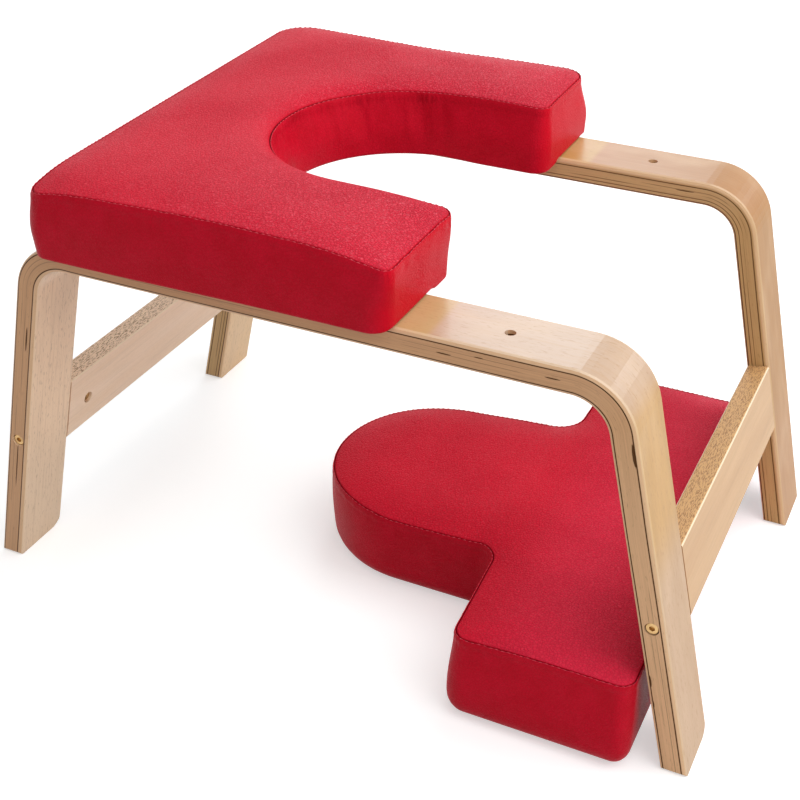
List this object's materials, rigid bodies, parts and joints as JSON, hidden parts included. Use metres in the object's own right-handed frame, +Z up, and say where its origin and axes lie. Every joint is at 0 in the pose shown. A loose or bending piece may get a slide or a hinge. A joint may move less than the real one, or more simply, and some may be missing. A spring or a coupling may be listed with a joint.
{
  "type": "yoga headstand stool",
  "caption": "Headstand stool: bent ply arches joined by rails carry a padded U-shaped seat with a head opening; a loose padded insert fits the opening.",
  "frame": {"origin": "on the floor, under the middle of the four feet", "axes": "+X to the open front, along the arches; +Y to the left arch; +Z up"},
  "size_m": [0.6086, 0.416, 0.3732],
  "materials": {
    "arch_ply": "lacquered bent plywood, pale faces and brown layered edges",
    "rail_wood": "lacquered solid wood",
    "board_ply": "raw plywood",
    "dowel_wood": "raw beech",
    "brass_steel": "brass coloured plating",
    "zinc_steel": "zinc plated",
    "leatherette": "red leatherette with a fine grain",
    "foam": "open foam",
    "lining": "black non-woven cloth"
  },
  "bodies": {
    "stool": {"left_arch": "arch_ply", "right_arch": "arch_ply", "front_rail": "rail_wood", "connector_bolt_front_left": "brass_steel", "barrel_nut_front_left": "brass_steel", "dowel_front_left_upper": "dowel_wood", "dowel_front_left_lower": "dowel_wood", "connector_bolt_front_right": "brass_steel", "barrel_nut_front_right": "brass_steel", "dowel_front_right_upper": "dowel_wood", "dowel_front_right_lower": "dowel_wood", "rear_rail": "rail_wood", "connector_bolt_rear_left": "brass_steel", "barrel_nut_rear_left": "brass_steel", "dowel_rear_left_upper": "dowel_wood", "dowel_rear_left_lower": "dowel_wood", "connector_bolt_rear_right": "brass_steel", "barrel_nut_rear_right": "brass_steel", "dowel_rear_right_upper": "dowel_wood", "dowel_rear_right_lower": "dowel_wood", "seat_cover": "leatherette", "seat_foam": "foam", "seat_board": "board_ply", "seat_lining": "lining", "seat_tee_nut_front_left": "zinc_steel", "seat_washer_front_left": "zinc_steel", "seat_bolt_front_left": "zinc_steel", "seat_tee_nut_front_right": "zinc_steel", "seat_washer_front_right": "zinc_steel", "seat_bolt_front_right": "zinc_steel", "seat_tee_nut_rear_left": "zinc_steel", "seat_washer_rear_left": "zinc_steel", "seat_bolt_rear_left": "zinc_steel", "seat_tee_nut_rear_right": "zinc_steel", "seat_washer_rear_right": "zinc_steel", "seat_bolt_rear_right": "zinc_steel"},
    "insert_pad": {"insert_cover": "leatherette", "insert_foam": "foam", "insert_board": "board_ply", "insert_lining": "lining", "insert_tee_nut_left": "zinc_steel", "insert_tee_nut_right": "zinc_steel"}
  },
  "joints": [
    {"name": "insert_pad_slide", "type": "slide", "parent": "stool", "child": "insert_pad", "axis": [0, -1, 0], "range_m": [0, 0.42]}
  ]
}
